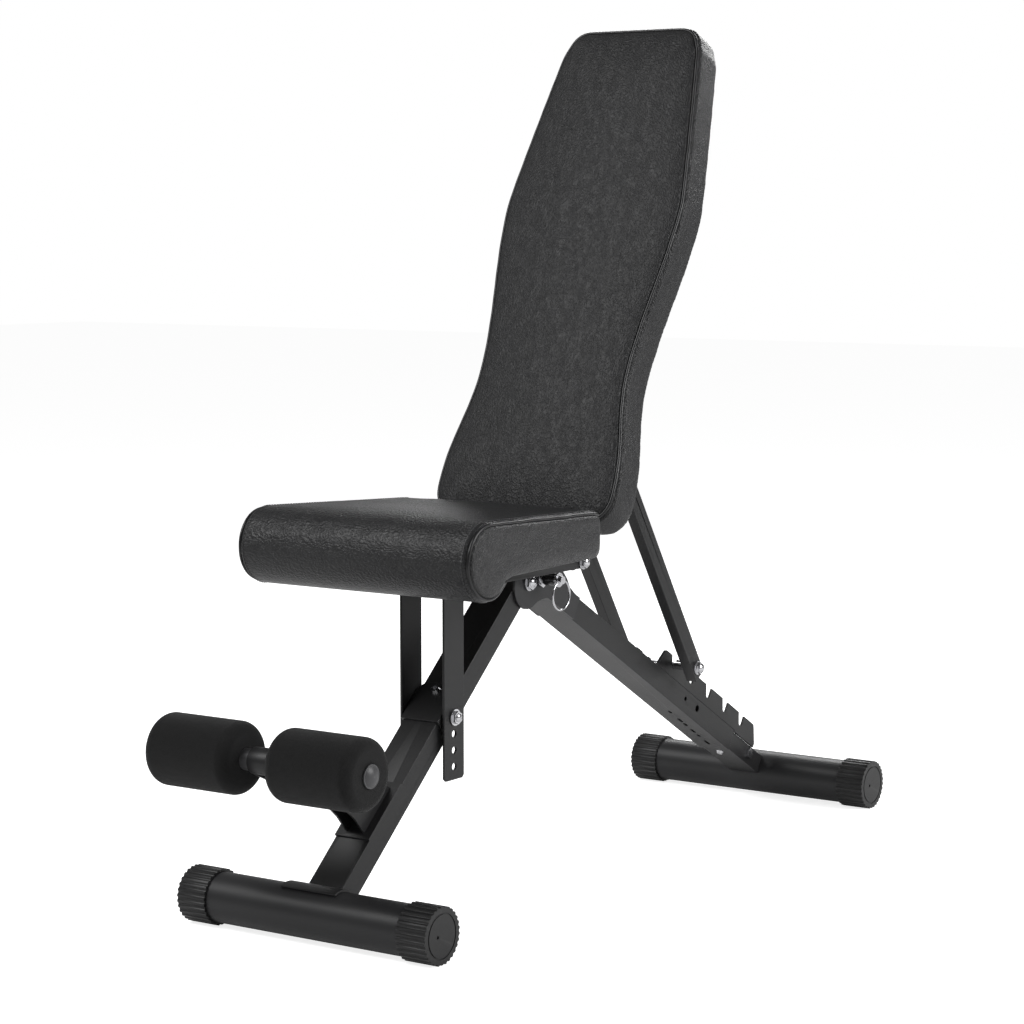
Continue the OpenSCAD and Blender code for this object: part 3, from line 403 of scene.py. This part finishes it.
def back_half(up):
    """Half the backrest's width at a height up it: an hourglass with a long taper to the top."""
    t = up / PAD_LEN
    wave = lambda u: (1 - math.cos(math.pi * min(max(u, 0.0), 1.0))) / 2
    bottom, waist, shoulder, top = (PAD_HALF[k] for k in ("bottom", "waist", "shoulder", "top"))
    if t < 0.29:
        return bottom + (waist - bottom) * wave((up - 0.05) / (0.29 * PAD_LEN - 0.05))
    if t < 0.635:
        return waist + (shoulder - waist) * wave((t - 0.29) / 0.345)
    return shoulder - (shoulder - top) * ((t - 0.635) / 0.365) ** 1.1


def back_outline(inset):
    """The pad's outline, moved in by inset: (x, up) points, the same number at every inset."""
    low_r, top_r = 0.034 - inset * 0.3, 0.026 - inset * 0.3
    low_r, top_r = max(low_r, 0.012), max(top_r, 0.010)
    low = back_half(0) - inset - low_r
    top = back_half(PAD_LEN) - inset - top_r
    right = []
    for i in range(9):
        a = math.radians(-90 + 88 * i / 8)
        right.append((low + low_r * math.cos(a), inset + low_r + low_r * math.sin(a)))
    start, end = inset + low_r + 0.008, PAD_LEN - inset - top_r - 0.006
    for i in range(44):
        z = start + (end - start) * i / 43
        right.append((back_half(z) - inset, z))
    for i in range(9):
        a = math.radians(6 + 84 * i / 8)
        right.append((top + top_r * math.cos(a), PAD_LEN - inset - top_r + top_r * math.sin(a)))
    return right + [(-x, z) for x, z in reversed(right)]


def backrest_cover():
    rings = []
    for inset, out in (
        (0.060, PAD_BACK), (0.012, PAD_BACK), (0.004, PAD_BACK - 0.0015), (0.0005, PAD_BACK - 0.006),
        (-0.0005, PAD_BACK - 0.018), (-0.0005, PAD_BACK - 0.034), (0.0005, PAD_FRONT + 0.007),
        (0.003, PAD_FRONT + 0.0025), (0.007, PAD_FRONT + 0.0008), (0.016, PAD_FRONT - 0.0015),
        (0.032, PAD_FRONT - 0.0038), (0.055, PAD_FRONT - 0.0055), (0.075, PAD_FRONT - 0.0062),
    ):
        rings.append([back_point(x, out, z) for x, z in back_outline(inset)])
    base = rings_to_solid("backrest_cover", rings)
    welt_path = [back_point(x, PAD_FRONT + 0.0032, z) for x, z in back_outline(0.0012)]
    welt_path = resample(welt_path, SEAM_STEP, True)
    rear_seam = resample([back_point(x, PAD_BACK - 0.001, z) for x, z in back_outline(0.004)], SEAM_STEP, True)
    back_plane = back_point(0, PAD_BACK, 0.3)
    outward = (back_point(0, 0.1, 0.3) - back_point(0, 0, 0.3)).normalized()
    pad = cushion(base, [welt_path, rear_seam], 0.006, lambda p: (p - back_plane).dot(outward) > -0.004)
    dress(pad, LEATHER)
    return pad, welt_path


BLEND_STEPS, ROLL_STEPS, TOP_STEPS, CORNER_STEPS = 9, 36, 19, 6


def seat_outline(inset=0.0):
    """The seat's side outline as (y, z), from the roll's underside over the front and top, round the rear."""
    r, blend_r, corner = ROLL_R - inset, 0.025 + inset, 0.010
    base = SEAT_BASE + inset
    drop = ROLL.z - base + blend_r
    by = ROLL.y + math.sqrt((r + blend_r) ** 2 - drop ** 2)
    bz = base - blend_r
    touch = math.atan2(bz - ROLL.z, by - ROLL.y)
    rear = SEAT_REAR - inset
    top = lambda y: ROLL.z + r - (y - ROLL.y) * SEAT_FALL
    pts = []
    for i in range(BLEND_STEPS):
        a = math.pi / 2 + (touch + math.pi / 2) * i / (BLEND_STEPS - 1)
        pts.append((by + blend_r * math.cos(a), bz + blend_r * math.sin(a)))
    sweep = touch + 2 * math.pi - math.pi / 2
    for i in range(1, ROLL_STEPS + 1):
        a = touch - sweep * i / ROLL_STEPS
        pts.append((ROLL.y + r * math.cos(a), ROLL.z + r * math.sin(a)))
    for i in range(1, TOP_STEPS + 1):
        y = ROLL.y + (rear - corner - ROLL.y) * i / TOP_STEPS
        pts.append((y, top(y)))
    for i in range(1, CORNER_STEPS + 1):
        a = math.pi / 2 - math.pi / 2 * i / CORNER_STEPS
        pts.append((rear - corner + corner * math.cos(a), top(rear) - corner + corner * math.sin(a)))
    pts.append((rear, (top(rear) + base) / 2))
    for i in range(CORNER_STEPS + 1):
        a = -math.pi / 2 * i / CORNER_STEPS
        pts.append((rear - corner + corner * math.cos(a), base + corner + corner * math.sin(a)))
    for i in range(1, 12):
        pts.append((rear - corner + (by + 0.002 - rear + corner) * i / 12, base))
    return pts


def seat_half(y):
    t = max(0.0, (y - ROLL.y) / (SEAT_REAR - ROLL.y))
    return SEAT_HALF_FRONT - (SEAT_HALF_FRONT - SEAT_HALF_REAR) * t


def seat_cover():
    rings = []
    steps = [(0.020, 0.0012), (0.008, 0.0008), (0.0025, -0.0006), (0.0, -0.0035), (0.0, -0.012), (0.0, -0.05),
             (0.0, -0.10)]
    profile = {inset: seat_outline(inset) for inset, _ in steps}
    for inset, out in steps:
        rings.append([Vector((seat_half(y) + out, y, z)) for y, z in profile[inset]])
    for inset, out in reversed(steps):
        rings.append([Vector((-(seat_half(y) + out), y, z)) for y, z in profile[inset]])
    base = rings_to_solid("seat_cover", rings)
    edge = seat_outline(0.0012)
    seam_end = BLEND_STEPS + ROLL_STEPS + TOP_STEPS + CORNER_STEPS // 2
    seams = []
    for side in (1, -1):
        path = [Vector((side * (seat_half(y) - 0.0012), y, z)) for y, z in edge[6:seam_end]]
        seams.append(resample(path, SEAM_STEP, False))
    pad = cushion(base, seams, 0.0045, lambda p: p.z < SEAT_BASE + 0.002 and p.y > ROLL.y + 0.05)
    dress(pad, SEAT_LEATHER)
    return pad, seams


def settle(path, surface, lift, closed):
    """Moves a path into the groove of a cushion, its centre just above the surface."""
    tree = BVHTree.FromObject(surface, bpy.context.evaluated_depsgraph_get())
    points = []
    for p in path:
        spot = tree.find_nearest(p)[0]
        away = p - spot
        points.append(spot + away * min(1.0, lift / max(away.length, 1e-6)))
    n = len(points)
    for _ in range(4):
        points = [points[i] if not closed and i in (0, n - 1) else
                  (points[i - 1] + points[i] * 2 + points[(i + 1) % n]) / 4 for i in range(n)]
    return points


def stitches(name, path, closed, surface):
    """Thread stitches along a path, laid on a surface and instanced by a node tree."""
    tree = BVHTree.FromObject(surface, bpy.context.evaluated_depsgraph_get())
    points = []
    for p in resample(path, SEAM_STEP, closed):
        spot, normal, _, _ = tree.find_nearest(p)
        points.append(spot + normal * STITCH["lift"])
    curve = bpy.data.curves.new(name, "CURVE")
    curve.dimensions = "3D"
    spline = curve.splines.new("POLY")
    spline.points.add(len(points) - 1)
    for target, p in zip(spline.points, points):
        target.co = (p.x, p.y, p.z, 1.0)
    spline.use_cyclic_u = closed
    obj = new_object(name, curve)

    group = bpy.data.node_groups.new(name + " layout", "GeometryNodeTree")
    face = group.interface
    face.new_socket("Geometry", in_out="INPUT", socket_type="NodeSocketGeometry")
    sizes = {}
    for label, size in (("Pitch", "pitch"), ("Stitch length", "length"), ("Thread radius", "radius")):
        sock = face.new_socket(label, in_out="INPUT", socket_type="NodeSocketFloat")
        sizes[sock.identifier] = STITCH[size]
    face.new_socket("Geometry", in_out="OUTPUT", socket_type="NodeSocketGeometry")
    nodes, links = group.nodes, group.links
    start, end = nodes.new("NodeGroupInput"), nodes.new("NodeGroupOutput")
    spread = nodes.new("GeometryNodeCurveToPoints")
    spread.mode = "LENGTH"
    stitch = nodes.new("GeometryNodeMeshCylinder")
    stitch.inputs["Vertices"].default_value = 6
    stick = nodes.new("GeometryNodeInstanceOnPoints")
    flat = nodes.new("GeometryNodeRealizeInstances")
    paint = nodes.new("GeometryNodeSetMaterial")
    paint.inputs["Material"].default_value = THREAD
    links.new(start.outputs["Geometry"], spread.inputs["Curve"])
    links.new(start.outputs["Pitch"], spread.inputs["Length"])
    links.new(start.outputs["Stitch length"], stitch.inputs["Depth"])
    links.new(start.outputs["Thread radius"], stitch.inputs["Radius"])
    links.new(spread.outputs["Points"], stick.inputs["Points"])
    links.new(spread.outputs["Rotation"], stick.inputs["Rotation"])
    links.new(stitch.outputs["Mesh"], stick.inputs["Instance"])
    links.new(stick.outputs["Instances"], flat.inputs["Geometry"])
    links.new(flat.outputs["Geometry"], paint.inputs["Geometry"])
    links.new(paint.outputs["Geometry"], end.inputs["Geometry"])
    layout = obj.modifiers.new("layout", "NODES")
    layout.node_group = group
    for identifier, value in sizes.items():
        layout[identifier] = value
    obj = bake(obj)
    dress(obj, THREAD)
    return obj


back_pad, back_welt_path = backrest_cover()
back_welt = tube_along("backrest_welt", settle(back_welt_path, back_pad, WELT_LIFT, True), WELT_R, True)
dress(back_welt, WELT)
back_stitch_path = [back_point(x, PAD_FRONT + 0.0105, z) for x, z in back_outline(-0.001)]
back_stitches = stitches("backrest_stitching", back_stitch_path, True, back_pad)

seat_pad, seat_seams = seat_cover()
seat_trim = []
for side, seam in zip(("left", "right"), seat_seams):
    welt = tube_along("seat_welt_" + side, settle(seam, seat_pad, WELT_LIFT, False), WELT_R, False)
    dress(welt, WELT)
    seat_trim.append(welt)
    inward = 0.009 if side == "right" else -0.009
    path = [Vector((p.x + inward, p.y, p.z)) for p in seam]
    seat_trim.append(stitches("seat_stitching_" + side, path, False, seat_pad))

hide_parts("backrest_pad")
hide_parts("seat_pad")
for piece in (back_pad, back_welt, back_stitches):
    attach(piece, "backrest")
for piece in [seat_pad] + seat_trim:
    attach(piece, "seat")

# ---- seat posts: flat bars with round holes ----

POST_HOLES = 4
POST_Y, POST_TOP, POST_FOOT = FRONT_FOOT_Y + 0.228, 0.414, 0.1545
POST_PIN = (FRONT_FOOT_Y + 0.229, 0.398)
for side, x in (("left", 0.0315), ("right", -0.0315)):
    curve = bpy.data.curves.new("post " + side, "CURVE")
    curve.dimensions = "2D"
    curve.fill_mode = "BOTH"
    curve.extrude = 0.0012
    curve.bevel_depth = 0.0003
    curve.bevel_resolution = 1
    curve.offset = -0.0003
    holes = [(POST_Y, 0.2305 - 0.020 * i, 0.0045) for i in range(POST_HOLES)] + [(*POST_PIN, 0.0051)]
    half, cut = 0.020, 0.0035
    outline = [(POST_Y - half, POST_FOOT + cut), (POST_Y - half + cut, POST_FOOT),
               (POST_Y + half - cut, POST_FOOT), (POST_Y + half, POST_FOOT + cut),
               (POST_Y + half, 0.391), (POST_PIN[0] + 0.009, POST_TOP - 0.003), (POST_PIN[0] + 0.005, POST_TOP),
               (POST_PIN[0] - 0.005, POST_TOP), (POST_PIN[0] - 0.009, POST_TOP - 0.003), (POST_Y - half, 0.391)]
    shapes = [outline]
    for y, z, r in holes:
        shapes.append([(y + r * math.cos(2 * math.pi * k / 32), z - r * math.sin(2 * math.pi * k / 32))
                       for k in range(32)])
    for shape in shapes:
        spline = curve.splines.new("POLY")
        spline.points.add(len(shape) - 1)
        for target, (y, z) in zip(spline.points, shape):
            target.co = (y, z, 0.0, 1.0)
        spline.use_cyclic_u = True
    post = bake(new_object("seat_post_" + side, curve))
    turn = Matrix(((0, 0, 1, x), (1, 0, 0, 0), (0, 1, 0, 0), (0, 0, 0, 1)))
    post.data.transform(turn)
    dress(post, POWDER)
    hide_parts("post_" + side)
    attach(post, "seat_posts")

# ---- studio ----

floor_mesh = bpy.data.meshes.new("floor")
reach = 14.0
floor_mesh.from_pydata([(-reach, -reach, 0), (reach, -reach, 0), (reach, reach, 0), (-reach, reach, 0)], [],
                       [(0, 1, 2, 3)])
floor = new_object("floor", floor_mesh)
pale = finish("pale floor", (0.86, 0.86, 0.86), 0.6, vary=0.004, grain=noise_grain(40.0), bump=0.00001,
              specular=0.0, rough_vary=0.02)
pale.node_tree.nodes["Principled BSDF"].inputs["Emission Color"].default_value = (1.0, 1.0, 1.0, 1.0)
seen = pale.node_tree.nodes.new("ShaderNodeLightPath")
glow = pale.node_tree.nodes.new("ShaderNodeMapRange")
glow.inputs["To Min"].default_value = 0.10
glow.inputs["To Max"].default_value = 0.80
pale.node_tree.links.new(seen.outputs["Is Camera Ray"], glow.inputs["Value"])
pale.node_tree.links.new(glow.outputs["Result"],
                         pale.node_tree.nodes["Principled BSDF"].inputs["Emission Strength"])
dress(floor, pale)

world = bpy.data.worlds.new("studio")
world.use_nodes = True
backdrop = world.node_tree.nodes["Background"]
backdrop.inputs["Color"].default_value = (1.0, 1.0, 1.0, 1.0)
ray = world.node_tree.nodes.new("ShaderNodeLightPath")
level = world.node_tree.nodes.new("ShaderNodeMapRange")
level.inputs["To Min"].default_value = 0.20          # the room that lights the bench
level.inputs["To Max"].default_value = 1.0           # the backdrop behind it
world.node_tree.links.new(ray.outputs["Is Camera Ray"], level.inputs["Value"])
world.node_tree.links.new(level.outputs["Result"], backdrop.inputs["Strength"])
scene.world = world


def softbox(name, place, aim, size, power):
    data = bpy.data.lights.new(name, "AREA")
    data.shape = "RECTANGLE"
    data.size, data.size_y = size
    data.energy = power
    lamp = new_object(name, data)
    lamp.location = place
    lamp.rotation_mode = "QUATERNION"
    lamp.rotation_quaternion = (Vector(aim) - Vector(place)).to_track_quat("-Z", "Y")


softbox("key", (-1.5, -2.4, 2.9), (0.0, -0.1, 0.4), (1.8, 1.8), 62)
softbox("side", (3.0, 0.9, 1.7), (0.0, 0.0, 0.5), (1.8, 1.4), 70)
softbox("rear strip", (-0.6, 2.6, 1.9), (0.0, 0.0, 0.5), (2.2, 0.8), 45)

camera_data = bpy.data.cameras.new("camera")
camera_data.sensor_width = 36.0
camera_data.lens = 97.43
camera = new_object("camera", camera_data)
camera.location = (1.950, -2.896, 0.822)
camera.rotation_mode = "QUATERNION"
camera.rotation_quaternion = (Vector((0.0, -0.0627, 0.4615)) - camera.location).to_track_quat("-Z", "Y")
camera_data.clip_start, camera_data.clip_end = 0.05, 60.0
scene.camera = camera
scene.view_settings.view_transform = "Standard"
